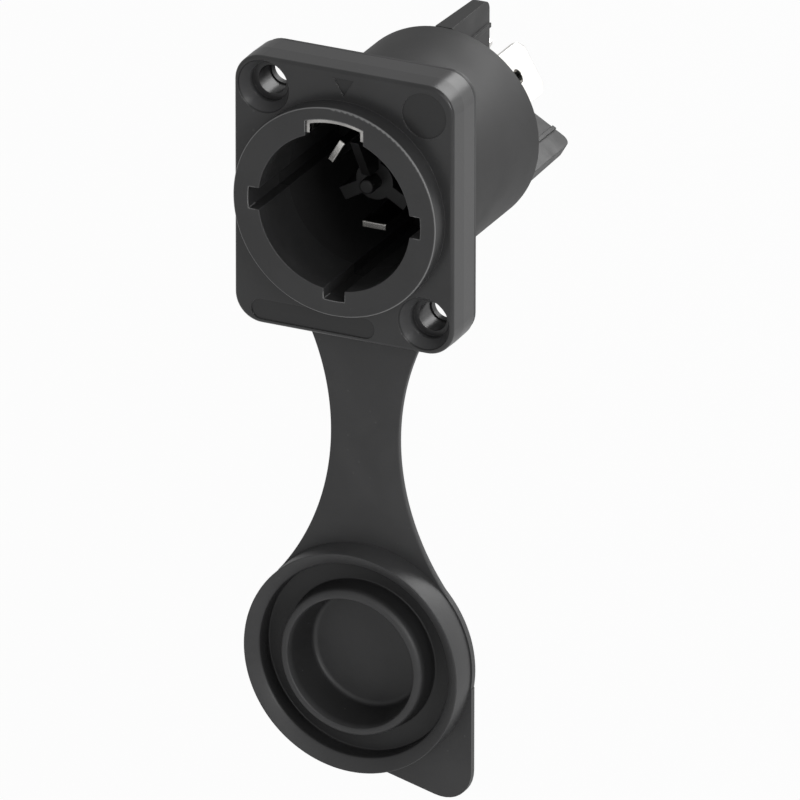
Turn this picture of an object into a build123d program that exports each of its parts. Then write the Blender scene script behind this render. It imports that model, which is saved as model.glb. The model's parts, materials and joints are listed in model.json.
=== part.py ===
"""Locking mains inlet for a panel, with a rubber sealing cover that hangs from its flange.

Millimetres, +Z up. The socket faces -Y and the body tube runs back along +Y, through the
panel. The origin is the middle of the plane where the gasket meets the panel.
"""
from build123d import *
import math
import os

# Socket, its keyways and its latch window
socket_diameter = 18.0
socket_depth = 22.4
keyway_width = 2.5
keyway_depth = 1.2
latch_window_width = 6.85
latch_window_depth = 1.6
latch_window_length = 12.0

# Raised ring round the socket
ring_wall = 3.0
ring_height = 2.35
ring_edge_radius = 0.25

# Flange, a little wider than the ring and a good deal higher
flange_side_margin = 1.0
flange_end_margin = 3.5
flange_thickness = 5.2
flange_corner_radius = 3.2
flange_edge_radius = 0.4
mould_draft = 1.2

# Fixing holes, one in each of two opposite corners
screw_edge_distance = 3.5
screw_hole_diameter = 3.3
screw_dish_diameter = 6.1
screw_dish_depth = 1.4
screw_seat_diameter = 4.5
screw_seat_depth = 2.3

# Body tube, which passes through the panel, and the shoulder at its root that centres the gasket
tube_wall = 2.5
tube_edge_chamfer = 0.35
gasket_shoulder_step = 0.2

# Marks moulded in the flange's face
mark_depth = 0.15
arrow_width = 2.4
arrow_height = 2.0
arrow_gap = 0.5
roundel_diameter = 5.2
capsule_length = 14.7
capsule_height = 2.4
capsule_center_x = -3.65
capsule_gap = 0.5

# Latch plate, a bent strip of sheet steel that lines the latch window
latch_sheet = 0.4
latch_plate_length = 7.0
latch_leg_drop = 1.35
latch_plate_setback = 0.25

# Contact carrier, pushed in from the rear against a shoulder in the tube
carrier_shoulder = 1.25
carrier_plate_thickness = 4.85
carrier_play = 0.05
snap_bead_height = 0.2
snap_bead_width = 0.6
snap_bead_inset = 1.0
hub_diameter = 4.4
hub_setback = 10.0
post_diameter = 1.75
post_tip_round = 0.3
post_setback = 7.85
rib_thickness = 1.5
rib_radius = 4.4
guide_fin_thickness = 1.0
guide_fin_radius = 6.2
guide_fin_inner_setback = 7.95
guide_fin_outer_setback = 5.0

# Three-armed divider behind the carrier, which keeps the terminals apart
divider_inset_root = 0.1
divider_inset_tip = 0.3
divider_side_inset = 0.6
divider_thickness_root = 2.0
divider_thickness_tip = 1.5
divider_top_length = 9.9
divider_side_length = 12.0
divider_corner_radius = 1.2
divider_bead_radius = 8.2
divider_bead_size = 0.5
divider_bead_height = 0.2

# Seal in the carrier's groove
seal_width = 1.2
seal_depth = 0.95
seal_groove_width = 1.5
seal_inset = 2.5

# Contacts, each one stamping with a blade in front and a 6.3 mm tab behind
contact_count = 3
contact_first_angle = 30.0
blade_radius = 5.2
blade_thickness = 0.8
blade_width = 2.85
blade_setback = 9.85
blade_tip_chamfer = 0.1
tab_width = 6.3
tab_thickness = 0.8
tab_radius = 3.5
tab_stick_out = 15.6
tab_shoulder_gap = 0.6
tab_corner_chamfer = 1.0
tab_hole_diameter = 1.7
tab_hole_from_end = 4.0
contact_play = 0.03

# Rubber gasket behind the flange
gasket_thickness = 0.8
gasket_inset = 0.2
gasket_corner_radius = 3.0
gasket_shoulder_play = 0.1

# Rubber strap, a continuation of the gasket
strap_link_length = 11.6
strap_waist_width = 7.92
strap_waist_drop = 28.8
hinge_clearance = 0.02

# Sealing cap
cap_rim_overhang = 0.75
cap_plate_margin = 0.3
cap_rim_wall = 1.5
cap_rim_height = 3.7
cap_lip_drop = 1.1
cap_channel_depth = 3.1
cap_rim_round = 0.5
cap_lip_edge_round = 0.15
plug_play = 0.26
plug_nose_taper = 0.33
plug_wall = 0.87
plug_setback = 0.1
plug_round = 0.38
cap_bowl_taper = 0.74
cap_bowl_depth = 5.24
cap_floor_thickness = 1.2
cap_boss_wall = 1.25
cap_boss_round = 0.6
pull_tab_side_inset = 0.25
pull_tab_length = 3.25
pull_tab_slope = 14.4
pull_tab_corner_radius = 3.5
pull_tab_top_drop = 2.0
pull_tab_root_inset = 11.5

# Places that follow from the sizes above. Places along Y are measured from the panel.
socket_radius = socket_diameter / 2
ring_radius = socket_radius + ring_wall
tube_radius = socket_radius + tube_wall
gasket_shoulder_radius = tube_radius + gasket_shoulder_step
flange_width = 2 * (ring_radius + flange_side_margin)
flange_height = 2 * (ring_radius + flange_end_margin)
screw_offset_x = flange_width / 2 - screw_edge_distance
screw_offset_z = flange_height / 2 - screw_edge_distance
keyway_radius = socket_radius + keyway_depth
latch_window_radius = socket_radius + latch_window_depth
flange_back_y = -gasket_thickness
flange_front_y = flange_back_y - flange_thickness
ring_front_y = flange_front_y - ring_height
socket_floor_y = ring_front_y + socket_depth
tube_reach = socket_floor_y + carrier_plate_thickness
divider_top_reach = tube_reach + divider_top_length
divider_side_reach = tube_reach + divider_side_length
tab_reach = tube_reach + tab_stick_out
flange_bottom_z = -flange_height / 2
carrier_radius = socket_radius + carrier_shoulder
divider_radius_root = tube_radius - divider_inset_root
divider_radius_tip = tube_radius - divider_inset_tip
carrier_bore_radius = carrier_radius + carrier_play
snap_bead_y = tube_reach - snap_bead_inset
seal_y = tube_reach - seal_inset
contact_angles = [contact_first_angle + i * 360 / contact_count for i in range(contact_count)]
arm_angles = [angle + 180 / contact_count for angle in contact_angles]
top_angle = 90.0
screw_places = [(-screw_offset_x, screw_offset_z), (screw_offset_x, -screw_offset_z)]

# The cover folds at three lines, evenly spaced so that the cap lands on the socket's axis.
strap_front_y = -gasket_thickness
fold_z = [flange_bottom_z - i * strap_link_length for i in range(3)]
cap_drop = flange_height + 2 * strap_link_length
cap_rim_radius = ring_radius + cap_rim_overhang
cap_plate_radius = cap_rim_radius + cap_plate_margin
strap_side_radius = (
    (strap_waist_width / 2) ** 2 + (cap_drop - strap_waist_drop) ** 2 - cap_plate_radius**2
) / (2 * (cap_plate_radius - strap_waist_width / 2))
plug_radius = socket_radius - plug_play
plug_nose_radius = plug_radius - plug_nose_taper
cap_bowl_radius = plug_nose_radius - plug_wall
cap_floor_radius = cap_bowl_radius - cap_bowl_taper
pull_tab_reach = cap_plate_radius - pull_tab_side_inset
pull_tab_drop = cap_plate_radius + pull_tab_length
rim_front_y = strap_front_y - cap_rim_height
plug_front_y = rim_front_y + plug_setback


def facing(y):
    """A sketch plane seen from the front, with X to the right and Z up."""
    return Plane(origin=(0, y, 0), x_dir=(1, 0, 0), z_dir=(0, -1, 0))


def slab(sketch, front_y, back_y):
    """A plate with the sketch as its outline, from front_y back to back_y."""
    return extrude(facing(back_y) * sketch, amount=back_y - front_y)


def disc(radius, front_y, back_y):
    return slab(Circle(radius), front_y, back_y)


def turned(part, angle):
    """Turns a part that points along +X so that it points at angle, seen from the front."""
    return part.rotate(Axis.Y, -angle)


def edges_at(part, y):
    """The edges that lie wholly in the plane at y."""
    return [
        e for e in part.edges()
        if abs(e.bounding_box().min.Y - y) < 1e-4 and abs(e.bounding_box().max.Y - y) < 1e-4
    ]


def corners_at(profile, places):
    """The corners of a flat profile that lie at the given places."""
    return [
        v for v in profile.vertices()
        if any(math.hypot(v.X - x, v.Y - y) < 1e-4 for x, y in places)
    ]


def upper_window(radius, width):
    """The part of a disc above the socket's middle, cut to a width."""
    return Circle(radius) & (Pos(0, radius / 2) * Rectangle(width, radius))


def flange():
    """The square flange, drafted both ways from a mould line round its sides."""
    half = flange_thickness / 2
    mould_line = facing(flange_front_y + half)
    outline = RectangleRounded(flange_width, flange_height, flange_corner_radius)
    front = extrude(mould_line * outline, amount=half, taper=mould_draft)
    back = extrude(mould_line * outline, amount=half, dir=(0, 1, 0), taper=mould_draft)
    front = fillet(edges_at(front, flange_front_y), flange_edge_radius)
    return front + back


def screw_hole(x, z):
    """A fixing hole: a dish in the face, a seat for the head and a through hole."""
    dish_y = flange_front_y + screw_dish_depth
    dish = extrude(
        Plane(origin=(x, flange_front_y, z), x_dir=(1, 0, 0), z_dir=(0, 1, 0))
        * Circle(screw_dish_diameter / 2),
        amount=screw_dish_depth,
        taper=math.degrees(
            math.atan((screw_dish_diameter - screw_seat_diameter) / 2 / screw_dish_depth)
        ),
    )
    seat = slab(
        Pos(x, z) * Circle(screw_seat_diameter / 2), dish_y, flange_front_y + screw_seat_depth
    )
    through = slab(Pos(x, z) * Circle(screw_hole_diameter / 2), flange_front_y, flange_back_y)
    return dish + seat + through


def face_marks():
    """Shallow plain marks: an arrow over the socket, a roundel and a capsule field."""
    tip_z = ring_radius + arrow_gap
    arrow = make_face(Polyline(
        (0, tip_z),
        (arrow_width / 2, tip_z + arrow_height),
        (-arrow_width / 2, tip_z + arrow_height),
        close=True,
    ))
    roundel = Pos(screw_offset_x, screw_offset_z) * Circle(roundel_diameter / 2)
    capsule_z = flange_bottom_z + capsule_gap + capsule_height / 2
    capsule = Pos(capsule_center_x, capsule_z) * SlotOverall(capsule_length, capsule_height)
    return slab(arrow + roundel + capsule, flange_front_y, flange_front_y + mark_depth)


def socket_space():
    """Everything cut out of the housing along the socket's axis."""
    keyways = Rectangle(2 * keyway_radius, keyway_width)
    keyways += Pos(0, -keyway_radius / 2) * Rectangle(keyway_width, keyway_radius)
    keyways = keyways & Circle(keyway_radius)
    space = slab(Circle(socket_radius) + keyways, ring_front_y, socket_floor_y)
    space += slab(
        upper_window(latch_window_radius, latch_window_width),
        ring_front_y,
        ring_front_y + latch_window_length,
    )
    space += disc(carrier_bore_radius, socket_floor_y, tube_reach)
    space += disc(
        carrier_bore_radius + snap_bead_height,
        snap_bead_y - snap_bead_width / 2 - carrier_play,
        snap_bead_y + snap_bead_width / 2 + carrier_play,
    )
    return space


def inlet_housing():
    """One moulding: flange, raised ring, and the body tube with its keyed socket."""
    ring = disc(ring_radius, ring_front_y, flange_front_y)
    ring = fillet(edges_at(ring, ring_front_y), ring_edge_radius)
    tube = disc(tube_radius, flange_back_y, tube_reach)
    tube = chamfer(edges_at(tube, tube_reach), tube_edge_chamfer)
    tube += disc(gasket_shoulder_radius, flange_back_y, 0)
    body = flange() + ring + tube - socket_space()
    for x, z in screw_places:
        body -= screw_hole(x, z)
    return body - face_marks()


def latch_plate():
    """The bent steel strip in the latch window: an arched top and two short legs."""
    outer_radius = latch_window_radius - contact_play
    half_width = latch_window_width / 2 - contact_play
    arch = upper_window(outer_radius, 2 * half_width) - Circle(outer_radius - latch_sheet)
    shoulder_z = math.sqrt(outer_radius**2 - half_width**2)
    legs = Sketch()
    for side in (-1, 1):
        leg_x = side * (half_width - latch_sheet / 2)
        legs += Pos(leg_x, shoulder_z - latch_leg_drop / 2) * Rectangle(
            latch_sheet, latch_leg_drop
        )
    front_y = ring_front_y + latch_plate_setback
    return slab(arch + legs, front_y, front_y + latch_plate_length)


def contact_shape(play=0.0):
    """A contact that points along +X: flat blade, step inside the carrier, and tab.

    With play, it is the slightly larger pocket that the carrier holds it in.
    """
    half_sheet = blade_thickness / 2 + play
    blade_face = Pos(blade_radius, 0) * Rectangle(2 * half_sheet, blade_width + 2 * play)
    step_y = (socket_floor_y + tube_reach) / 2 - blade_thickness / 2
    blade_front_y = ring_front_y + blade_setback
    blade = slab(blade_face, blade_front_y, step_y + blade_thickness)
    if play == 0:
        blade = chamfer(edges_at(blade, blade_front_y), blade_tip_chamfer)
    step_from = tab_radius - tab_thickness / 2 - play
    step_to = blade_radius
    step = Pos((step_from + step_to) / 2, 0) * Rectangle(
        step_to - step_from, blade_width + 2 * play
    )
    shoulder_y = tube_reach + tab_shoulder_gap
    shank = Pos(tab_radius, 0) * Rectangle(tab_thickness + 2 * play, blade_width + 2 * play)
    contact = blade
    contact += slab(step, step_y - play, step_y + blade_thickness + play)
    contact += slab(shank, step_y, shoulder_y)
    if play == 0:
        tab = Pos(tab_radius, 0) * Rectangle(tab_thickness, tab_width)
        tab = slab(tab, shoulder_y, tab_reach)
        corners = [e for e in edges_at(tab, tab_reach) if abs(e.center().Z) > tab_width / 2 - 1e-3]
        tab = chamfer(corners, tab_corner_chamfer)
        hole = Plane.YZ.offset(tab_radius - tab_thickness) * (
            Pos(tab_reach - tab_hole_from_end, 0) * Circle(tab_hole_diameter / 2)
        )
        contact += tab - extrude(hole, amount=2 * tab_thickness)
    return contact


def divider_bar(reach, inner, outer_root, outer_tip, thickness_root, thickness_tip):
    """A drafted bar behind the carrier that points along +X."""
    root = facing(tube_reach) * (
        Pos((inner + outer_root) / 2, 0) * Rectangle(outer_root - inner, thickness_root)
    )
    tip = facing(reach) * (
        Pos((inner + outer_tip) / 2, 0) * Rectangle(outer_tip - inner, thickness_tip)
    )
    return loft([root, tip])


def divider_arm(angle):
    """One arm of the divider, with a round outer corner and a bead along each face."""
    is_top = angle % 360 == top_angle
    reach = divider_top_reach if is_top else divider_side_reach
    inset = 0 if is_top else divider_side_inset
    arm = divider_bar(
        reach, 0, divider_radius_root - inset, divider_radius_tip - inset,
        divider_thickness_root, divider_thickness_tip,
    )
    corner = [e for e in edges_at(arm, reach) if e.center().X > divider_radius_tip - inset - 1e-3]
    arm = fillet(corner, divider_corner_radius)
    arm += divider_bar(
        reach, divider_bead_radius - divider_bead_size / 2,
        divider_bead_radius + divider_bead_size / 2,
        divider_bead_radius + divider_bead_size / 2,
        divider_thickness_root + 2 * divider_bead_height,
        divider_thickness_tip + 2 * divider_bead_height,
    )
    return turned(arm, angle)


def guide_fin():
    """The thin fin that stands above the post, its front edge rising outwards."""
    inner = post_diameter / 2 + guide_fin_thickness / 2
    profile = make_face(Polyline(
        (inner, socket_floor_y),
        (inner, ring_front_y + guide_fin_inner_setback),
        (guide_fin_radius, ring_front_y + guide_fin_outer_setback),
        (guide_fin_radius, socket_floor_y),
        close=True,
    ))
    fin = extrude(Plane.XY * profile, amount=guide_fin_thickness / 2, both=True)
    return turned(fin, top_angle)


def contact_carrier():
    """One moulding: plate in the tube, hub with post and ribs in front, divider behind."""
    hub_front_y = ring_front_y + hub_setback
    carrier = disc(carrier_radius, socket_floor_y, tube_reach)
    carrier += disc(
        carrier_radius + snap_bead_height,
        snap_bead_y - snap_bead_width / 2,
        snap_bead_y + snap_bead_width / 2,
    )
    carrier -= slab(
        Circle(carrier_radius + snap_bead_height) - Circle(carrier_bore_radius - seal_depth),
        seal_y - seal_groove_width / 2,
        seal_y + seal_groove_width / 2,
    )
    carrier += disc(hub_diameter / 2, hub_front_y, socket_floor_y)
    post = disc(post_diameter / 2, ring_front_y + post_setback, hub_front_y)
    carrier += fillet(edges_at(post, ring_front_y + post_setback), post_tip_round)
    for angle in arm_angles:
        rib = Pos(rib_radius / 2, 0) * Rectangle(rib_radius, rib_thickness)
        carrier += turned(slab(rib, hub_front_y, socket_floor_y), angle)
        carrier += divider_arm(angle)
    carrier += guide_fin()
    pocket = contact_shape(contact_play)
    for angle in contact_angles:
        carrier -= turned(pocket, angle)
    return carrier


def carrier_seal():
    """The rubber seal, squeezed between the carrier's groove and the tube."""
    inner = carrier_bore_radius - seal_depth + contact_play
    outer = carrier_bore_radius - contact_play
    section = Pos((inner + outer) / 2, seal_y) * RectangleRounded(
        outer - inner, seal_width, (outer - inner) / 3
    )
    return revolve(Plane.XY * section, axis=Axis.Y)


def strap_outline(top_z, bottom_z):
    """The strap between two heights, with hollow sides that run into the cap's edge."""
    side_x = strap_waist_width / 2 + strap_side_radius
    outline = Pos(0, (top_z + bottom_z) / 2) * Rectangle(2 * side_x, top_z - bottom_z)
    for side in (-1, 1):
        outline -= Pos(side * side_x, -strap_waist_drop) * Circle(strap_side_radius)
    return outline & (Pos(0, -cap_drop / 2) * Rectangle(2 * cap_plate_radius, 2 * cap_drop))


def panel_gasket():
    """The flat gasket behind the flange, with the strap's root on its lower edge."""
    outline = RectangleRounded(
        flange_width - 2 * gasket_inset, flange_height - 2 * gasket_inset, gasket_corner_radius
    )
    outline += strap_outline(flange_bottom_z + 2 * gasket_inset, flange_bottom_z)
    outline -= Circle(gasket_shoulder_radius + gasket_shoulder_play)
    for x, z in screw_places:
        outline -= Pos(x, z) * Circle(screw_hole_diameter / 2)
    return slab(outline, strap_front_y, 0)


def strap_link(index):
    """A stretch of the strap between two of its fold lines."""
    outline = strap_outline(fold_z[index] - hinge_clearance, fold_z[index + 1])
    return slab(outline, strap_front_y, 0)


def cap_outline():
    """The cap's plate, the flare of the strap's end and the pull tab."""
    pull = math.hypot(strap_waist_width / 2 + strap_side_radius, cap_drop - strap_waist_drop)
    tangent_z = -cap_drop + cap_plate_radius * (cap_drop - strap_waist_drop) / pull
    slope_rise = pull_tab_root_inset * math.tan(math.radians(pull_tab_slope))
    tab = make_face(Polyline(
        (0, 0),
        (pull_tab_reach, -pull_tab_top_drop),
        (pull_tab_reach, -pull_tab_drop),
        (pull_tab_reach - pull_tab_root_inset, slope_rise - pull_tab_drop),
        close=True,
    ))
    lowest = tab.vertices().sort_by(Axis.Y)[0]
    tab = fillet(lowest, pull_tab_corner_radius)
    plate = Circle(cap_plate_radius) + tab
    return Pos(0, -cap_drop) * plate + strap_outline(fold_z[2] - hinge_clearance, tangent_z)


def sealing_cap():
    """The cap: a plate with a rim, and a hollow plug that enters the socket."""
    channel_y = rim_front_y + cap_channel_depth
    floor_y = plug_front_y + cap_bowl_depth
    back_y = floor_y + cap_floor_thickness
    boss_radius = cap_floor_radius + cap_boss_wall
    points = [
        (0, floor_y),
        (cap_floor_radius, floor_y),
        (cap_bowl_radius, plug_front_y),
        (plug_nose_radius, plug_front_y),
        (plug_radius, channel_y),
        (cap_rim_radius - cap_rim_wall, channel_y),
        (cap_rim_radius - cap_rim_wall, rim_front_y + cap_lip_drop),
        (cap_rim_radius, rim_front_y),
        (cap_rim_radius, 0),
        (boss_radius, 0),
        (boss_radius, back_y),
        (0, back_y),
    ]
    profile = make_face(Polyline(*points, close=True))
    profile = fillet(corners_at(profile, points[2:4]), plug_round)
    profile = fillet(corners_at(profile, points[6:7]), cap_rim_round)
    profile = fillet(corners_at(profile, points[7:8]), cap_lip_edge_round)
    profile = fillet(corners_at(profile, points[10:11]), cap_boss_round)
    cup = revolve(Plane.XY * profile, axis=Axis.Y)
    hollow = revolve(
        Plane.XY * make_face(Polyline(
            (0, floor_y), (cap_floor_radius, floor_y), (cap_bowl_radius, plug_front_y),
            (0, plug_front_y), close=True,
        )),
        axis=Axis.Y,
    )
    plate = slab(cap_outline(), strap_front_y, 0)
    return plate - Pos(0, 0, -cap_drop) * hollow + Pos(0, 0, -cap_drop) * cup


contact_names = ["contact_right", "contact_left", "contact_lower"]
pieces = {
    "inlet_housing": inlet_housing(),
    "latch_plate": latch_plate(),
    "contact_carrier": contact_carrier(),
    "carrier_seal": carrier_seal(),
    "panel_gasket": panel_gasket(),
    "strap_upper": strap_link(0),
    "strap_lower": strap_link(1),
    "sealing_cap": sealing_cap(),
}
for name, angle in zip(contact_names, contact_angles):
    pieces[name] = turned(contact_shape(), angle)

os.makedirs("parts", exist_ok=True)
for name, piece in pieces.items():
    export_step(piece, f"parts/{name}.step")
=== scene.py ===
"""A locking mains inlet in black nylon, with the rubber cover that hangs from its flange."""
import bpy
import bmesh
import json
import math
from mathutils import Matrix, Vector


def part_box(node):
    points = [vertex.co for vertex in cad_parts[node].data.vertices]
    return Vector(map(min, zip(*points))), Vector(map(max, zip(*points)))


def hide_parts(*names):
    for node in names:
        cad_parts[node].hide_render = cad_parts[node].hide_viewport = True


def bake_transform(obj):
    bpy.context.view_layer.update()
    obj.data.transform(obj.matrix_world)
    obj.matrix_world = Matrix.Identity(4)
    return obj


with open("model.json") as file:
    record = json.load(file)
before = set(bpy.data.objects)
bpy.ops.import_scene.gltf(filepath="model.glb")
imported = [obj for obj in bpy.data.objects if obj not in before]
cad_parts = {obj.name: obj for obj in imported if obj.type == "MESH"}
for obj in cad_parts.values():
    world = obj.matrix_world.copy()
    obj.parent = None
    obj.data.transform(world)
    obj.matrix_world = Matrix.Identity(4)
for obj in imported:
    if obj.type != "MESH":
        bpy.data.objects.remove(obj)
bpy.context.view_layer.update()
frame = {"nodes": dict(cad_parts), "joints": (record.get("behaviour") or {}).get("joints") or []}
bpy.ops.object.select_all(action="DESELECT")
MM = 0.001

# The housing is one injection moulding in black glass-filled nylon.
# Its flange comes off polished steel and its ring off a spark-eroded face, so the two shine
# differently, and every edge has the small round that the mould leaves.
HOUSING_BLACK = (0.028, 0.028, 0.0286, 1)
HOUSING_BLOOM = (0.034, 0.034, 0.0346, 1)
HOUSING_DUST = (0.05, 0.05, 0.05, 1)
# Painted highlight colour for the housing's edges and the ring's shoulder.
HOUSING_EDGE_HIGHLIGHT = (0.24, 0.24, 0.24, 1)
# Painted highlight colour for the screw dishes.
HOUSING_DISH_HIGHLIGHT = (0.10, 0.10, 0.102, 1)
# Painted shade colour for the floors of the flange's recesses.
HOUSING_MARK_SHADE = (0.019, 0.019, 0.0194, 1)
# Painted shade colour for the body tube behind the flange.
HOUSING_TUBE_SHADE = (0.015, 0.015, 0.0153, 1)
DISH_HIGHLIGHT_STRENGTH = 0.6
TUBE_SHADE_STRENGTH = 0.8
SHOULDER_HIGHLIGHT_STRENGTH = 0.7
OTHER_EDGES_HIGHLIGHT_STRENGTH = 0.15
RING_DULLER = 0.14
TUBE_DULLER = 0.26
FLANGE_GRAIN = 0.25
MARK_EDGE_ROUND = 0.05 * MM
RING_EDGE_ROUND = 0.22 * MM
RING_FACE_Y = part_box("inlet_housing")[0][1]
RING_HEIGHT = 2.35 * MM
RING_GRAIN_BACK_Y = RING_FACE_Y + RING_HEIGHT * 0.7
FLANGE_FRONT_Y = RING_FACE_Y + RING_HEIGHT
FLANGE_BACK_Y = -0.8 * MM
HIGHLIGHT_FROM_RADIUS = 9.4 * MM
SCREW_ACROSS = 9.5 * MM
SCREW_UP = 12.0 * MM
DISH_RADIUS = 3.07 * MM
DISH_FRONT_Y = -5.8 * MM
DISH_SEAT_Y = -4.2 * MM
MARK_SHALLOWEST = 0.03 * MM
MARK_DEEPEST = 0.5 * MM
# A normal's Y is -1 on a face that looks forwards and 0 on a side.
FACES_FRONT = -0.99
LEAVES_FACE = (-0.95, -0.82)
LEAVES_SIDE = (-0.4, -0.6)


def new_node(tree, kind, values=None, **settings):
    """Adds a shader node, sets its properties, then gives sockets a value or a link each."""
    made = tree.nodes.new(kind)
    for name, value in settings.items():
        setattr(made, name, value)
    for name, value in (values or {}).items():
        if isinstance(value, bpy.types.NodeSocket):
            tree.links.new(value, made.inputs[name])
        else:
            made.inputs[name].default_value = value
    return made


def new_group(name, takes, gives):
    """Starts a shader group and returns its tree, the sockets it takes and those it gives."""
    group = bpy.data.node_groups.new(name, "ShaderNodeTree")
    for label, kind, value in takes:
        socket = group.interface.new_socket(label, in_out="INPUT", socket_type=kind)
        if value is not None:
            socket.default_value = value
    for label, kind in gives:
        group.interface.new_socket(label, in_out="OUTPUT", socket_type=kind)
    taken = new_node(group, "NodeGroupInput").outputs
    given = new_node(group, "NodeGroupOutput").inputs
    return group, taken, given


def maths(tree, operation, first, second):
    """A Math node on two things, each a socket or a number."""
    made = new_node(tree, "ShaderNodeMath", {0: first, 1: second}, operation=operation)
    return made.outputs[0]


def vector_maths(tree, operation, first, second=(0, 0, 0), gives="Vector"):
    """A Vector Math node on two things, each a socket or a vector."""
    made = new_node(tree, "ShaderNodeVectorMath", {0: first, 1: second}, operation=operation)
    return made.outputs[gives]


def ramp(tree, value, start, end):
    """A straight ramp from 0 where the value is at start to 1 where it is at end."""
    made = new_node(tree, "ShaderNodeMapRange", {"Value": value, "From Min": start, "From Max": end})
    return made.outputs[0]


def along_y(tree, vector):
    """The vector's Y, which runs from the front of the part to its back."""
    return new_node(tree, "ShaderNodeSeparateXYZ", {0: vector}).outputs["Y"]


def make_grain_group():
    """Spark-eroded or blasted mould texture: fine rounded pits, with coarser ones among them."""
    coarse_scale = 0.3
    coarse_depth = 0.5
    group, takes, gives = new_group(
        "mould_grain",
        [("Place", "NodeSocketVector", None), ("Pits per metre", "NodeSocketFloat", 6000.0)],
        [("Height", "NodeSocketFloat")],
    )
    fine = new_node(group, "ShaderNodeTexNoise", {"Detail": 3.0, "Roughness": 0.65})
    coarse = new_node(group, "ShaderNodeTexNoise", {"Detail": 1.0})
    group.links.new(takes["Place"], fine.inputs["Vector"])
    group.links.new(takes["Place"], coarse.inputs["Vector"])
    group.links.new(takes["Pits per metre"], fine.inputs["Scale"])
    scale = maths(group, "MULTIPLY", takes["Pits per metre"], coarse_scale)
    group.links.new(scale, coarse.inputs["Scale"])
    coarse_height = maths(group, "MULTIPLY", coarse.outputs[0], coarse_depth)
    group.links.new(maths(group, "ADD", fine.outputs[0], coarse_height), gives["Height"])
    return group


def make_clouds_group():
    """Large soft clouds, as of melt flow in a moulding, tarnish on silver or bloom on rubber."""
    group, takes, gives = new_group(
        "soft_clouds",
        [
            ("Place", "NodeSocketVector", None),
            ("Clouds per metre", "NodeSocketFloat", 120.0),
            ("Low", "NodeSocketFloat", 0.0),
            ("High", "NodeSocketFloat", 1.0),
        ],
        [("Value", "NodeSocketFloat"), ("Mask", "NodeSocketFloat")],
    )
    clouds = new_node(group, "ShaderNodeTexNoise", {"Detail": 4.0, "Distortion": 0.4})
    group.links.new(takes["Place"], clouds.inputs["Vector"])
    group.links.new(takes["Clouds per metre"], clouds.inputs["Scale"])
    spread = new_node(
        group, "ShaderNodeMapRange", {"From Min": 0.3, "From Max": 0.7}, interpolation_type="SMOOTHSTEP"
    )
    group.links.new(clouds.outputs[0], spread.inputs["Value"])
    value = new_node(group, "ShaderNodeMapRange", {"To Min": takes["Low"], "To Max": takes["High"]})
    group.links.new(spread.outputs[0], value.inputs["Value"])
    group.links.new(value.outputs[0], gives["Value"])
    group.links.new(spread.outputs[0], gives["Mask"])
    return group


def make_dust_group():
    """Sparse fine dust: small bright specks of uneven size."""
    largest_speck = 0.22
    group, takes, gives = new_group(
        "fine_dust",
        [
            ("Place", "NodeSocketVector", None),
            ("Specks per metre", "NodeSocketFloat", 900.0),
            ("Share", "NodeSocketFloat", 0.1),
        ],
        [("Mask", "NodeSocketFloat")],
    )
    specks = new_node(group, "ShaderNodeTexVoronoi", {"Randomness": 1.0})
    group.links.new(takes["Place"], specks.inputs["Vector"])
    group.links.new(takes["Specks per metre"], specks.inputs["Scale"])
    shade = new_node(group, "ShaderNodeSeparateColor", {0: specks.outputs["Color"]}).outputs
    chosen = maths(group, "LESS_THAN", shade[0], takes["Share"])
    size = maths(group, "MULTIPLY", shade[1], largest_speck)
    near = maths(group, "LESS_THAN", specks.outputs["Distance"], size)
    group.links.new(maths(group, "MULTIPLY", chosen, near), gives["Mask"])
    return group


mould_grain = make_grain_group()
soft_clouds = make_clouds_group()
fine_dust = make_dust_group()


def new_material(name):
    """An empty material: returns it with its tree, its Principled shader and its coordinates."""
    material = bpy.data.materials.new(name)
    material.use_nodes = True
    tree = material.node_tree
    tree.nodes.clear()
    shader = new_node(tree, "ShaderNodeBsdfPrincipled")
    new_node(tree, "ShaderNodeOutputMaterial", {"Surface": shader.outputs[0]})
    place = new_node(tree, "ShaderNodeTexCoord").outputs["Object"]
    return material, tree, shader, place


def use_group(tree, group, place, values):
    """Puts a shader group in a material, with the material's own values."""
    return new_node(tree, "ShaderNodeGroup", {"Place": place, **values}, node_tree=group)


def mix_colours(tree, mask, low, high):
    """The low colour where the mask is 0 and the high one where it is 1."""
    made = new_node(tree, "ShaderNodeMix", {0: mask, 6: low, 7: high}, data_type="RGBA")
    return made.outputs[2]


def bump_only(tree, shader, height, depth):
    """Feeds the shader a normal with the surface's texture."""
    bump = new_node(tree, "ShaderNodeBump", {"Strength": 1.0, "Distance": depth, "Height": height})
    tree.links.new(bump.outputs[0], shader.inputs["Normal"])
    return bump


def bump_over_edges(tree, shader, height, depth, edge_round):
    """The same, with the piece's sharp edges rounded too, by a length or by a socket's value.

    Returns a mask of those edges, from the cosine between the rounded and the plain normal.
    """
    edge_starts = 0.99
    edge_full = 0.84
    edges = new_node(tree, "ShaderNodeBevel", {"Radius": edge_round}, samples=6)
    bump = bump_only(tree, shader, height, depth)
    tree.links.new(edges.outputs[0], bump.inputs["Normal"])
    plain = new_node(tree, "ShaderNodeNewGeometry").outputs["Normal"]
    cosine = vector_maths(tree, "DOT_PRODUCT", edges.outputs[0], plain, gives="Value")
    return ramp(tree, cosine, edge_starts, edge_full)


def wear(piece_name, material):
    """Gives a carried-over piece its finished material in every slot."""
    for slot in frame["nodes"][piece_name].material_slots:
        slot.material = material


housing_nylon, tree, shader, place = new_material("housing_nylon")
grain = use_group(tree, mould_grain, place, {"Pits per metre": 5200.0})
clouds = use_group(tree, soft_clouds, place, {"Clouds per metre": 160.0, "Low": 0.28, "High": 0.34})
dust = use_group(tree, fine_dust, place, {"Specks per metre": 1500.0, "Share": 0.04})
surface = new_node(tree, "ShaderNodeNewGeometry").outputs
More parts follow.
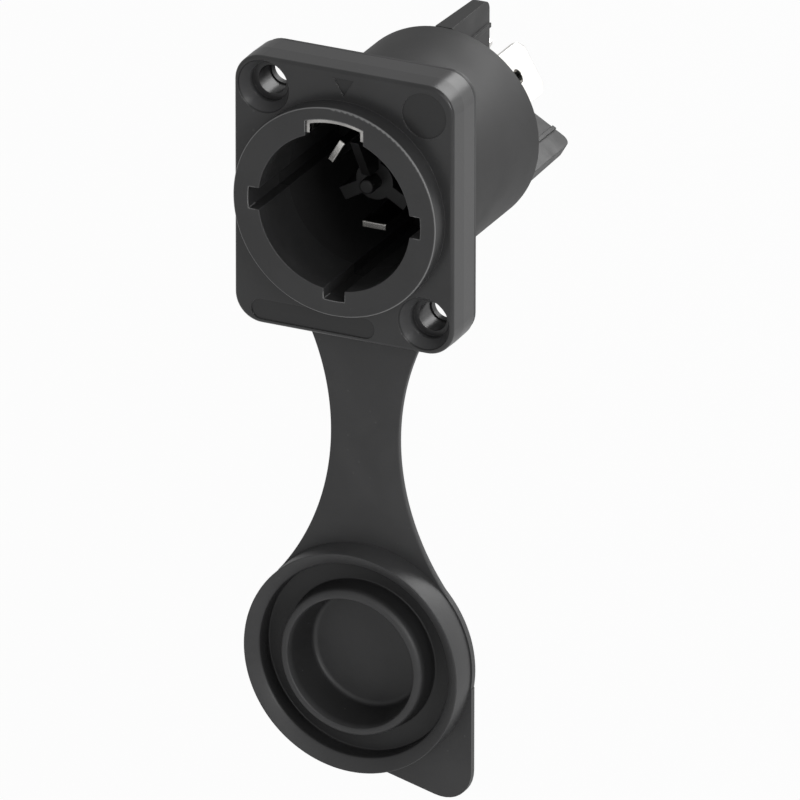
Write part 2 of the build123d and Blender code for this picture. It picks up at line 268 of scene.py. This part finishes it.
# The masks of the ring, of the body tube and of the ring beyond the edge of its bore.
place_y = along_y(tree, place)
on_ring = maths(tree, "LESS_THAN", place_y, RING_GRAIN_BACK_Y)
on_tube = maths(tree, "GREATER_THAN", place_y, FLANGE_BACK_Y)
from_axis = vector_maths(tree, "MULTIPLY", place, (1, 0, 1))
radius = vector_maths(tree, "LENGTH", from_axis, gives="Value")
outside = maths(tree, "GREATER_THAN", radius, HIGHLIGHT_FROM_RADIUS)
on_outer_ring = maths(tree, "MULTIPLY", outside, on_ring)
# Ring and tube are duller than the flange. The ring has more grain and rounder edges.
ring_duller = maths(tree, "MULTIPLY", on_ring, RING_DULLER)
duller = maths(tree, "ADD", ring_duller, maths(tree, "MULTIPLY", on_tube, TUBE_DULLER))
tree.links.new(maths(tree, "ADD", clouds.outputs["Value"], duller), shader.inputs["Roughness"])
grain_depth = maths(tree, "MULTIPLY", on_ring, 1 - FLANGE_GRAIN)
grain_depth = maths(tree, "ADD", grain_depth, FLANGE_GRAIN)
height = maths(tree, "MULTIPLY", grain.outputs["Height"], grain_depth)
edge_round = maths(tree, "MULTIPLY", on_ring, RING_EDGE_ROUND - MARK_EDGE_ROUND)
edge_round = maths(tree, "ADD", edge_round, MARK_EDGE_ROUND)
edges = bump_over_edges(tree, shader, height, depth=0.012 * MM, edge_round=edge_round)
# Edges are painted pale as a painted highlight, most of all on the outer ring and on its shoulder.
edge_highlight = maths(tree, "MULTIPLY", edges, maths(tree, "MAXIMUM", on_outer_ring, OTHER_EDGES_HIGHLIGHT_STRENGTH))
normal_y = along_y(tree, surface["Normal"])
off_face = ramp(tree, normal_y, *LEAVES_FACE)
off_side = ramp(tree, normal_y, *LEAVES_SIDE)
shoulder = maths(tree, "MULTIPLY", off_face, off_side)
shoulder = maths(tree, "MULTIPLY", shoulder, on_outer_ring)
edge_highlight = maths(tree, "MAXIMUM", edge_highlight, maths(tree, "MULTIPLY", shoulder, SHOULDER_HIGHLIGHT_STRENGTH))
# The dishes of the two screw holes are painted paler as a painted highlight, from just behind the
# flange's front to the seats.
from_screw = vector_maths(tree, "ABSOLUTE", from_axis)
to_screw = vector_maths(tree, "DISTANCE", from_screw, (SCREW_ACROSS, 0, SCREW_UP), gives="Value")
dish_highlight = maths(tree, "LESS_THAN", to_screw, DISH_RADIUS)
dish_highlight = maths(tree, "MULTIPLY", dish_highlight, maths(tree, "GREATER_THAN", place_y, DISH_FRONT_Y))
dish_highlight = maths(tree, "MULTIPLY", dish_highlight, maths(tree, "LESS_THAN", place_y, DISH_SEAT_Y))
dish_highlight = maths(tree, "MULTIPLY", dish_highlight, DISH_HIGHLIGHT_STRENGTH)
# The flange's shallow recesses are painted darker on their floors, as painted shade.
facing_front = maths(tree, "LESS_THAN", along_y(tree, surface["True Normal"]), FACES_FRONT)
recessed = maths(tree, "GREATER_THAN", place_y, FLANGE_FRONT_Y + MARK_SHALLOWEST)
shallow = maths(tree, "LESS_THAN", place_y, FLANGE_FRONT_Y + MARK_DEEPEST)
mark_shade = maths(tree, "MULTIPLY", facing_front, recessed)
mark_shade = maths(tree, "MULTIPLY", mark_shade, shallow)
colour = mix_colours(tree, clouds.outputs["Mask"], HOUSING_BLACK, HOUSING_BLOOM)
colour = mix_colours(tree, dust.outputs["Mask"], colour, HOUSING_DUST)
colour = mix_colours(tree, dish_highlight, colour, HOUSING_DISH_HIGHLIGHT)
colour = mix_colours(tree, mark_shade, colour, HOUSING_MARK_SHADE)
# The body tube behind the flange is painted darker, as painted shade.
colour = mix_colours(tree, maths(tree, "MULTIPLY", on_tube, TUBE_SHADE_STRENGTH), colour, HOUSING_TUBE_SHADE)
colour = mix_colours(tree, edge_highlight, colour, HOUSING_EDGE_HIGHLIGHT)
tree.links.new(colour, shader.inputs["Base Color"])
wear("inlet_housing", housing_nylon)

# The latch plate is a strip of bright spring steel, blanked, bent over a former and slid
# into the latch window. It is bright along its cut edges and a little dull on its faces.
STEEL_BRIGHT = (0.62, 0.61, 0.59, 1)
STEEL_DULL = (0.40, 0.39, 0.38, 1)
latch_steel, tree, shader, place = new_material("latch_steel")
shader.inputs["Metallic"].default_value = 1.0
rolled = new_node(tree, "ShaderNodeMapping", {"Vector": place, "Scale": (1.0, 0.08, 1.0)})
lines = use_group(tree, mould_grain, rolled.outputs[0], {"Pits per metre": 9000.0})
clouds = use_group(tree, soft_clouds, place, {"Clouds per metre": 500.0, "Low": 0.2, "High": 0.34})
colour = mix_colours(tree, clouds.outputs["Mask"], STEEL_BRIGHT, STEEL_DULL)
tree.links.new(colour, shader.inputs["Base Color"])
tree.links.new(clouds.outputs["Value"], shader.inputs["Roughness"])
bump_over_edges(tree, shader, lines.outputs["Height"], depth=0.004 * MM, edge_round=0.08 * MM)
wear("latch_plate", latch_steel)

# The contact carrier is a second nylon moulding, blacker and duller than the housing.
# It is pushed into the tube from behind until its snap bead clicks.
# Painted shade colour for the carrier inside the socket.
CARRIER_SOCKET_SHADE = (0.006, 0.006, 0.0061, 1)
CARRIER_BLACK = (0.015, 0.015, 0.0153, 1)
CARRIER_BLOOM = (0.020, 0.020, 0.0204, 1)
CARRIER_DUST = (0.035, 0.035, 0.035, 1)
CARRIER_BACK_Y = 17.0 * MM
carrier_nylon, tree, shader, place = new_material("carrier_nylon")
shader.inputs["Specular IOR Level"].default_value = 0.4
grain = use_group(tree, mould_grain, place, {"Pits per metre": 4200.0})
clouds = use_group(tree, soft_clouds, place, {"Clouds per metre": 210.0, "Low": 0.40, "High": 0.52})
dust = use_group(tree, fine_dust, place, {"Specks per metre": 1300.0, "Share": 0.06})
# In front of CARRIER_BACK_Y, inside the socket, the carrier is painted near black as painted shade.
behind = maths(tree, "GREATER_THAN", along_y(tree, place), CARRIER_BACK_Y)
colour = mix_colours(tree, clouds.outputs["Mask"], CARRIER_BLACK, CARRIER_BLOOM)
colour = mix_colours(tree, behind, CARRIER_SOCKET_SHADE, colour)
colour = mix_colours(tree, dust.outputs["Mask"], colour, CARRIER_DUST)
tree.links.new(colour, shader.inputs["Base Color"])
tree.links.new(clouds.outputs["Value"], shader.inputs["Roughness"])
bump_over_edges(tree, shader, grain.outputs["Height"], depth=0.006 * MM, edge_round=0.12 * MM)
wear("contact_carrier", carrier_nylon)

# The three contacts are stamped from brass strip and plated with silver.
# The plating is bright on the blades and has begun to yellow in soft patches.
SILVER = (0.90, 0.89, 0.87, 1)
SILVER_TARNISHED = (0.80, 0.78, 0.74, 1)
contact_silver, tree, shader, place = new_material("contact_silver")
shader.inputs["Metallic"].default_value = 1.0
drawn = new_node(tree, "ShaderNodeMapping", {"Vector": place, "Scale": (1.0, 0.06, 1.0)})
lines = use_group(tree, mould_grain, drawn.outputs[0], {"Pits per metre": 7000.0})
clouds = use_group(tree, soft_clouds, place, {"Clouds per metre": 380.0, "Low": 0.14, "High": 0.24})
colour = mix_colours(tree, clouds.outputs["Mask"], SILVER, SILVER_TARNISHED)
tree.links.new(colour, shader.inputs["Base Color"])
tree.links.new(clouds.outputs["Value"], shader.inputs["Roughness"])
bump_over_edges(tree, shader, lines.outputs["Height"], depth=0.003 * MM, edge_round=0.1 * MM)
for piece_name in ("contact_right", "contact_left", "contact_lower"):
    wear(piece_name, contact_silver)

# The carrier's seal is a moulded ring of soft black rubber, squeezed in the carrier's groove.
# The body tube covers it, so that nothing of it shows in the finished part.
SEAL_BLACK = (0.012, 0.012, 0.012, 1)
SEAL_BLOOM = (0.02, 0.02, 0.02, 1)
seal_rubber, tree, shader, place = new_material("seal_rubber_dull")
grain = use_group(tree, mould_grain, place, {"Pits per metre": 3000.0})
clouds = use_group(tree, soft_clouds, place, {"Clouds per metre": 300.0, "Low": 0.55, "High": 0.7})
colour = mix_colours(tree, clouds.outputs["Mask"], SEAL_BLACK, SEAL_BLOOM)
tree.links.new(colour, shader.inputs["Base Color"])
tree.links.new(clouds.outputs["Value"], shader.inputs["Roughness"])
bump_over_edges(tree, shader, grain.outputs["Height"], depth=0.006 * MM, edge_round=0.1 * MM)
wear("carrier_seal", seal_rubber)

# The cover is one compression moulding in black rubber: gasket, strap, cap and pull tab.
# The gasket is the flat sheet behind the flange, with the strap's root on its lower edge.
# It is pinched between flange and panel, and the strap bends where it leaves the flange.
RUBBER_BLACK = (0.037, 0.037, 0.0378, 1)
RUBBER_BLOOM = (0.046, 0.046, 0.0468, 1)
# Painted shade colour for the cap's channel, bowl wall and the face round its boss.
RUBBER_PAINTED_SHADE = (0.014, 0.014, 0.0143, 1)
RUBBER_DUST = (0.055, 0.055, 0.055, 1)
PAINTED_SHADE_STRENGTH = 0.8
PAINTED_SHADE_OUTER = 11.3 * MM
PAINTED_SHADE_FRONT = (-4.0 * MM, -3.3 * MM)
PAINTED_SHADE_FLOOR = (0.75 * MM, 0.2 * MM)
gasket_low, gasket_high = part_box("panel_gasket")
SHEET_FRONT_Y = gasket_low[1]
GASKET_HALF_WIDTH = gasket_high[0]
GASKET_HALF_HEIGHT = gasket_high[2]
GASKET_CORNER = 3.0 * MM
GASKET_EDGE_ROUND = 0.12 * MM
GASKET_HOLE_RADIUS = 11.8 * MM
SCREW_HOLE_RADIUS = 1.5 * MM
CUT_FRONT_Y = -2 * MM
CUT_BACK_Y = 1 * MM
FOLD_Z = [joint["pos_m"][2] for joint in frame["joints"]]
FLANGE_BOTTOM_Z = FOLD_Z[0]
STRAP_LINK = FOLD_Z[0] - FOLD_Z[1]
CAP_Z = 2 * (FLANGE_BOTTOM_Z - STRAP_LINK)
CAP_PLATE_RADIUS = 12.9 * MM
WAIST_HALF_WIDTH = 4.05 * MM
WAIST_Z = -28.8 * MM
WAIST_TO_CAP = WAIST_Z - CAP_Z
SIDE_RADIUS = (WAIST_HALF_WIDTH**2 + WAIST_TO_CAP**2 - CAP_PLATE_RADIUS**2) / (
    2 * (CAP_PLATE_RADIUS - WAIST_HALF_WIDTH)
)
FIRST_CUT_Z = FLANGE_BOTTOM_Z - STRAP_LINK / 2
SECOND_CUT_Z = FIRST_CUT_Z - STRAP_LINK
STRAP_ROOT_OVERLAP = 1.2 * MM
STRAP_ROW = 0.4 * MM
STRAP_EDGE_ROUND = 0.14 * MM
NEAR = 1e-6

cover_rubber, tree, shader, place = new_material("cover_rubber_black")
shader.inputs["Specular IOR Level"].default_value = 0.4
grain = use_group(tree, mould_grain, place, {"Pits per metre": 3600.0})
clouds = use_group(tree, soft_clouds, place, {"Clouds per metre": 130.0, "Low": 0.4, "High": 0.48})
dust = use_group(tree, fine_dust, place, {"Specks per metre": 1500.0, "Share": 0.05})
# The cap's channel and its bowl's wall are painted blacker as painted shade, and so is its outer face
# round the boss, but not the bowl's floor or the front edges.
place_y = along_y(tree, place)
from_cap = vector_maths(tree, "SUBTRACT", place, (0, 0, CAP_Z))
from_cap = vector_maths(tree, "MULTIPLY", from_cap, (1, 0, 1))
radius = vector_maths(tree, "LENGTH", from_cap, gives="Value")
cap_painted_shade = ramp(tree, place_y, *PAINTED_SHADE_FRONT)
cap_painted_shade = maths(tree, "MULTIPLY", cap_painted_shade, ramp(tree, place_y, *PAINTED_SHADE_FLOOR))
cap_painted_shade = maths(tree, "MULTIPLY", cap_painted_shade, maths(tree, "LESS_THAN", radius, PAINTED_SHADE_OUTER))
cap_painted_shade = maths(tree, "MULTIPLY", cap_painted_shade, PAINTED_SHADE_STRENGTH)
colour = mix_colours(tree, clouds.outputs["Mask"], RUBBER_BLACK, RUBBER_BLOOM)
colour = mix_colours(tree, cap_painted_shade, colour, RUBBER_PAINTED_SHADE)
colour = mix_colours(tree, dust.outputs["Mask"], colour, RUBBER_DUST)
tree.links.new(colour, shader.inputs["Base Color"])
tree.links.new(clouds.outputs["Value"], shader.inputs["Roughness"])
bump_only(tree, shader, grain.outputs["Height"], depth=0.012 * MM)


def half_width(z):
    """Half the strap's width at a height, from the arcs that hollow its two sides."""
    return WAIST_HALF_WIDTH + SIDE_RADIUS - math.sqrt(SIDE_RADIUS**2 - (z - WAIST_Z) ** 2)


def into_edit(kind):
    """Starts the editing of a new mesh, by its vertices, edges or faces."""
    bpy.ops.object.mode_set(mode="EDIT")
    bpy.ops.mesh.select_mode(type=kind)


def finish_edit():
    """Ends the editing of a mesh and leaves no object selected."""
    bpy.ops.object.mode_set(mode="OBJECT")
    bpy.ops.object.select_all(action="DESELECT")


def pick(kind, wanted):
    """Selects only those vertices, edges or faces whose corners all pass the test."""
    bpy.ops.mesh.select_mode(type=kind)
    bpy.ops.mesh.select_all(action="DESELECT")
    mesh = bpy.context.edit_object.data
    shape = bmesh.from_edit_mesh(mesh)
    parts = {"VERT": shape.verts, "EDGE": shape.edges, "FACE": shape.faces}[kind]
    for part in parts:
        corners = [part] if kind == "VERT" else part.verts
        if all(wanted(corner.co) for corner in corners):
            part.select_set(True)
    shape.select_flush_mode()
    bmesh.update_edit_mesh(mesh)


def pick_edges_along(axis):
    """Selects only the edges whose two ends differ in one axis: 1 is Y and 2 is Z."""
    mesh = bpy.context.edit_object.data
    shape = bmesh.from_edit_mesh(mesh)
    for edge in shape.edges:
        first, second = edge.verts
        edge.select_set(abs(first.co[axis] - second.co[axis]) > NEAR)
    bmesh.update_edit_mesh(mesh)


def box_piece(name, low, high):
    """A box between two corners, still in edit mode."""
    bpy.ops.mesh.primitive_cube_add(size=1)
    bpy.context.object.name = name
    into_edit("EDGE")
    bpy.ops.transform.resize(value=[b - a for a, b in zip(low, high)])
    bpy.ops.transform.translate(value=[(a + b) / 2 for a, b in zip(low, high)])
    return bpy.context.edit_object


def disc_piece(name, x, z, radius, front_y, back_y, steps=128):
    """A disc that faces forwards."""
    bpy.ops.mesh.primitive_cylinder_add(vertices=steps, radius=radius, depth=back_y - front_y)
    disc = bpy.context.object
    disc.name = name
    into_edit("EDGE")
    bpy.ops.transform.rotate(value=math.pi / 2, orient_axis="X", center_override=(0, 0, 0))
    bpy.ops.transform.translate(value=(x, (front_y + back_y) / 2, z))
    finish_edit()
    return disc


def strap_band(name, top_z, bottom_z):
    """A length of the strap, drawn out row by row, with its long edges rounded."""
    rows = round((top_z - bottom_z) / STRAP_ROW)
    step = (top_z - bottom_z) / rows
    wide = half_width(top_z)
    band = box_piece(name, (-wide, SHEET_FRONT_Y, top_z), (wide, 0, top_z + step))
    z = top_z
    for _ in range(rows):
        pick("FACE", lambda place: place.z < z + NEAR)
        bpy.ops.mesh.extrude_region_move(TRANSFORM_OT_translate={"value": (0, 0, -step)})
        ratio = half_width(z - step) / half_width(z)
        bpy.ops.transform.resize(value=(ratio, 1, 1), center_override=(0, 0, 0))
        z -= step
    pick("VERT", lambda place: place.z > top_z + NEAR)
    bpy.ops.mesh.delete(type="VERT")
    pick("EDGE", lambda place: abs(place.z - top_z) < NEAR)
    bpy.ops.mesh.edge_face_add()
    bpy.ops.mesh.select_all(action="SELECT")
    bpy.ops.mesh.normals_make_consistent(inside=False)
    pick_edges_along(2)
    bpy.ops.mesh.bevel(offset=STRAP_EDGE_ROUND, segments=3, clamp_overlap=True)
    finish_edit()
    return band


def combine(piece, other, operation):
    """Joins another mesh to a piece, or cuts it away, and deletes the other mesh."""
    cut = piece.modifiers.new("join", "BOOLEAN")
    cut.operation = operation
    cut.solver = "EXACT"
    cut.object = other
    bpy.context.view_layer.objects.active = piece
    bpy.ops.object.modifier_apply(modifier=cut.name)
    bpy.data.objects.remove(other, do_unlink=True)


def finish_rubber(piece):
    """Gives a finished piece of the cover its rubber, shaded smooth but for sharp edges."""
    bpy.ops.object.select_all(action="DESELECT")
    piece.select_set(True)
    bpy.context.view_layer.objects.active = piece
    bpy.ops.object.shade_smooth_by_angle(angle=math.radians(35))
    bpy.ops.object.select_all(action="DESELECT")
    piece.data.materials.append(cover_rubber)


gasket = box_piece(
    "gasket_sheet",
    (-GASKET_HALF_WIDTH, SHEET_FRONT_Y, -GASKET_HALF_HEIGHT),
    (GASKET_HALF_WIDTH, 0, GASKET_HALF_HEIGHT),
)
pick_edges_along(1)
bpy.ops.mesh.bevel(offset=GASKET_CORNER, segments=10)
pick("EDGE", lambda place: abs(place.y - SHEET_FRONT_Y) < NEAR)
bpy.ops.mesh.bevel(offset=GASKET_EDGE_ROUND, segments=2)
finish_edit()
root = strap_band("strap_root", -GASKET_HALF_HEIGHT + STRAP_ROOT_OVERLAP, FIRST_CUT_Z)
combine(gasket, root, "UNION")
hole = disc_piece("tube_hole", 0, 0, GASKET_HOLE_RADIUS, CUT_FRONT_Y, CUT_BACK_Y)
combine(gasket, hole, "DIFFERENCE")
for x, z in ((-SCREW_ACROSS, SCREW_UP), (SCREW_ACROSS, -SCREW_UP)):
    hole = disc_piece("screw_hole", x, z, SCREW_HOLE_RADIUS, CUT_FRONT_Y, CUT_BACK_Y, steps=40)
    combine(gasket, hole, "DIFFERENCE")
finish_rubber(gasket)
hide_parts("panel_gasket")
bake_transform(gasket)

# The strap's middle is the same flat sheet, narrowest a little below its fold.
strap = strap_band("cover_strap", FIRST_CUT_Z, SECOND_CUT_Z)
finish_rubber(strap)
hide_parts("strap_upper", "strap_lower")
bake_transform(strap)

# The sealing cap is a plate with a round rim and a hollow plug that closes the socket.
# It is moulded with the strap, and a corner of its plate is left on as a pull tab.
RIM_RADIUS = 12.75 * MM
RIM_INNER_RADIUS = 11.2 * MM
RIM_FRONT_Y = -4.5 * MM
LIP_BACK_Y = -3.4 * MM
LIP_EDGE_ROUND = 0.22 * MM
LIP_INNER_ROUND = 0.3 * MM
CHANNEL_Y = -1.4 * MM
CHANNEL_ROUND = 0.2 * MM
PLUG_RADIUS = 8.74 * MM
PLUG_NOSE_RADIUS = 8.41 * MM
PLUG_FRONT_Y = -4.4 * MM
PLUG_OUTER_ROUND = 0.55 * MM
PLUG_INNER_ROUND = 0.18 * MM
BOWL_RADIUS = 7.54 * MM
BOWL_FLOOR_RADIUS = 6.8 * MM
BOWL_FLOOR_Y = 0.84 * MM
BOWL_FLOOR_ROUND = 0.5 * MM
PLATE_HOLE_RADIUS = BOWL_RADIUS + 0.3 * MM
BOSS_RADIUS = 8.05 * MM
BOSS_BACK_Y = 2.04 * MM
BOSS_ROUND = 0.6 * MM
TAB_REACH = 12.8 * MM
TAB_TOP_DROP = 2.0 * MM
TAB_DROP = 16.3 * MM
TAB_ROOT_INSET = 11.5 * MM
TAB_SLOPE = math.radians(14.4)
TAB_CORNER_RADIUS = 3.5 * MM
TURN_STEPS = 144
ON_CIRCLE = 0.002 * MM


def turned_piece(name, profile, centre_z):
    """Spins a profile of (radius, y) points round an axis along Y, still in edit mode."""
    bpy.ops.mesh.primitive_plane_add(size=1)
    bpy.context.object.name = name
    into_edit("VERT")
    bpy.ops.mesh.merge(type="CENTER")
    at = Vector((0, 0, 0))
    for index, (radius, y) in enumerate(profile):
        goal = Vector((radius, y, centre_z))
        if index == 0:
            bpy.ops.transform.translate(value=goal)
        else:
            bpy.ops.mesh.extrude_region_move(TRANSFORM_OT_translate={"value": goal - at})
        at = goal
    bpy.ops.mesh.select_all(action="SELECT")
    bpy.ops.mesh.spin(steps=TURN_STEPS, angle=2 * math.pi, center=(0, 0, centre_z), axis=(0, 1, 0))
    bpy.ops.mesh.select_all(action="SELECT")
    bpy.ops.mesh.remove_doubles(threshold=0.0005 * MM)
    bpy.ops.mesh.normals_make_consistent(inside=False)
    return bpy.context.edit_object


def round_ring(radius, y, centre_z, offset, segments):
    """Rounds the circular edge at a radius and a depth."""

    def on_edge(place):
        out = math.hypot(place.x, place.z - centre_z)
        return abs(out - radius) < ON_CIRCLE and abs(place.y - y) < ON_CIRCLE

    pick("EDGE", on_edge)
    bpy.ops.mesh.bevel(offset=offset, segments=segments)


cap = turned_piece(
    "sealing_cap_rubber",
    [
        (0, BOWL_FLOOR_Y), (BOWL_FLOOR_RADIUS, BOWL_FLOOR_Y), (BOWL_RADIUS, PLUG_FRONT_Y),
        (PLUG_NOSE_RADIUS, PLUG_FRONT_Y), (PLUG_RADIUS, CHANNEL_Y), (RIM_INNER_RADIUS, CHANNEL_Y),
        (RIM_INNER_RADIUS, LIP_BACK_Y), (RIM_RADIUS, RIM_FRONT_Y), (RIM_RADIUS, 0),
        (BOSS_RADIUS, 0), (BOSS_RADIUS, BOSS_BACK_Y), (0, BOSS_BACK_Y),
    ],
    CAP_Z,
)
round_ring(BOWL_RADIUS, PLUG_FRONT_Y, CAP_Z, PLUG_INNER_ROUND, 4)
round_ring(PLUG_NOSE_RADIUS, PLUG_FRONT_Y, CAP_Z, PLUG_OUTER_ROUND, 6)
round_ring(RIM_INNER_RADIUS, LIP_BACK_Y, CAP_Z, LIP_INNER_ROUND, 5)
round_ring(RIM_RADIUS, RIM_FRONT_Y, CAP_Z, LIP_EDGE_ROUND, 4)
round_ring(BOWL_FLOOR_RADIUS, BOWL_FLOOR_Y, CAP_Z, BOWL_FLOOR_ROUND, 5)
round_ring(BOSS_RADIUS, BOSS_BACK_Y, CAP_Z, BOSS_ROUND, 5)
round_ring(PLUG_RADIUS, CHANNEL_Y, CAP_Z, CHANNEL_ROUND, 3)
round_ring(RIM_INNER_RADIUS, CHANNEL_Y, CAP_Z, CHANNEL_ROUND, 3)
finish_edit()

plate = disc_piece("cap_plate", 0, CAP_Z, CAP_PLATE_RADIUS, SHEET_FRONT_Y, 0, steps=TURN_STEPS)
tab = box_piece("pull_tab", (0, SHEET_FRONT_Y, CAP_Z - TAB_DROP), (TAB_REACH, 0, CAP_Z))
pick("EDGE", lambda place: place.x > TAB_REACH / 2 and place.z > CAP_Z - TAB_DROP / 2)
bpy.ops.transform.translate(value=(0, 0, -TAB_TOP_DROP))
pick("EDGE", lambda place: place.x < TAB_REACH / 2 and place.z < CAP_Z - TAB_DROP / 2)
bpy.ops.transform.translate(
    value=(TAB_REACH - TAB_ROOT_INSET, 0, TAB_ROOT_INSET * math.tan(TAB_SLOPE))
)
pick("EDGE", lambda place: place.x > TAB_REACH / 2 and place.z < CAP_Z - TAB_DROP / 2)
corner_angle = math.pi / 2 - TAB_SLOPE
bpy.ops.mesh.bevel(offset=TAB_CORNER_RADIUS / math.tan(corner_angle / 2), segments=10)
finish_edit()
combine(plate, tab, "UNION")
arc_to_cap = math.hypot(WAIST_HALF_WIDTH + SIDE_RADIUS, WAIST_TO_CAP)
tangent_z = CAP_Z + CAP_PLATE_RADIUS * WAIST_TO_CAP / arc_to_cap
strap_end = strap_band("strap_end", SECOND_CUT_Z, tangent_z)
combine(plate, strap_end, "UNION")
bowl = disc_piece("bowl_hole", 0, CAP_Z, PLATE_HOLE_RADIUS, CUT_FRONT_Y, CUT_BACK_Y, steps=TURN_STEPS)
combine(plate, bowl, "DIFFERENCE")
combine(cap, plate, "UNION")
finish_rubber(cap)
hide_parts("sealing_cap")
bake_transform(cap)

# The studio: a long lens from the right and above, a white background, a pale floor well
# below the part, and five soft lights. Their levels were set by comparison with the photo.
AZIMUTH = math.radians(25.527)
ELEVATION = math.radians(23.249)
ROLL = math.radians(0.083)
DISTANCE = 2082.7 * MM
TARGET = Vector((6.478, -5.5, -21.576)) * MM
SENSOR_WIDTH_MM = 36
FOCAL_LENGTH_MM = 876.1
FLOOR_Z = -130 * MM
FLOOR_SIZE = 8
FLOOR_WHITENESS = 0.93
PAPER_DARK = (0.80, 0.80, 0.80, 1)
PAPER_LIGHT = (0.82, 0.82, 0.82, 1)
ROOM_LIGHT = 0.37
ROOM_IN_REFLECTIONS = 0.15

back = Vector((
    math.sin(AZIMUTH) * math.cos(ELEVATION),
    -math.cos(AZIMUTH) * math.cos(ELEVATION),
    math.sin(ELEVATION),
))
right = Vector((math.cos(AZIMUTH), math.sin(AZIMUTH), 0))
up = back.cross(right)
camera_data = bpy.data.cameras.new("camera")
camera_data.sensor_width = SENSOR_WIDTH_MM
camera_data.lens = FOCAL_LENGTH_MM
camera = bpy.data.objects.new("camera", camera_data)
bpy.context.scene.collection.objects.link(camera)
turn = Matrix((right, up, back)).transposed().to_4x4()
camera.matrix_world = Matrix.Translation(TARGET + DISTANCE * back) @ turn @ Matrix.Rotation(ROLL, 4, "Z")
bpy.context.scene.camera = camera


def white_share(tree):
    """How much of the white a ray sees: all from the camera or through glass, less reflected."""
    ray = new_node(tree, "ShaderNodeLightPath").outputs
    share = maths(tree, "MULTIPLY", ray["Is Glossy Ray"], ROOM_IN_REFLECTIONS)
    share = maths(tree, "MAXIMUM", ray["Is Camera Ray"], share)
    return maths(tree, "MAXIMUM", share, ray["Is Transmission Ray"])


bpy.ops.mesh.primitive_plane_add(size=FLOOR_SIZE)
floor = bpy.context.object
floor.name = "studio_floor"
into_edit("FACE")
bpy.ops.transform.translate(value=(0, 0, FLOOR_Z))
finish_edit()
paper, tree, shader, place = new_material("floor_paper")
shader.inputs["Roughness"].default_value = 0.9
clouds = use_group(tree, soft_clouds, place, {"Clouds per metre": 3.0})
colour = mix_colours(tree, clouds.outputs["Mask"], PAPER_DARK, PAPER_LIGHT)
tree.links.new(colour, shader.inputs["Base Color"])
share = maths(tree, "MULTIPLY", white_share(tree), FLOOR_WHITENESS)
glow = new_node(tree, "ShaderNodeEmission", {"Color": (1, 1, 1, 1), "Strength": 1.0})
blend_in = new_node(tree, "ShaderNodeMixShader", {0: share, 1: shader.outputs[0], 2: glow.outputs[0]})
output = next(node for node in tree.nodes if node.type == "OUTPUT_MATERIAL")
tree.links.new(blend_in.outputs[0], output.inputs["Surface"])
floor.data.materials.append(paper)

world = bpy.data.worlds.new("studio")
bpy.context.scene.world = world
world.use_nodes = True
tree = world.node_tree
tree.nodes.clear()
soft = new_node(tree, "ShaderNodeBackground", {"Color": (1, 1, 1, 1), "Strength": ROOM_LIGHT})
white = new_node(tree, "ShaderNodeBackground", {"Color": (1, 1, 1, 1), "Strength": 1.0})
share = white_share(tree)
choice = new_node(tree, "ShaderNodeMixShader", {0: share, 1: soft.outputs[0], 2: white.outputs[0]})
new_node(tree, "ShaderNodeOutputWorld", {"Surface": choice.outputs[0]})


def soft_box(name, place, width, height, brightness):
    """A rectangular soft light that faces the part's middle, of a given surface brightness."""
    lamp_data = bpy.data.lights.new(name, "AREA")
    lamp_data.shape = "RECTANGLE"
    lamp_data.size = width
    lamp_data.size_y = height
    lamp_data.energy = brightness * math.pi * width * height
    lamp = bpy.data.objects.new(name, lamp_data)
    bpy.context.scene.collection.objects.link(lamp)
    lamp.location = place
    lamp.rotation_euler = (Vector(place) - TARGET).to_track_quat("Z", "Y").to_euler()


soft_box("light_behind", (0.28, 1.0, 0.56), 0.95, 0.5, 4.2)
soft_box("panel_behind", (0.7, 1.0, 0.12), 0.7, 0.6, 0.9)
soft_box("light_high_right", (0.84, -0.07, 0.84), 0.4, 0.4, 4.0)
soft_box("light_front_right", (0.95, -0.65, 0.35), 0.4, 0.4, 8.0)
soft_box("light_front", (0.36, -1.08, 0.42), 0.5, 0.5, 1.6)

bpy.context.scene.view_settings.view_transform = "Standard"
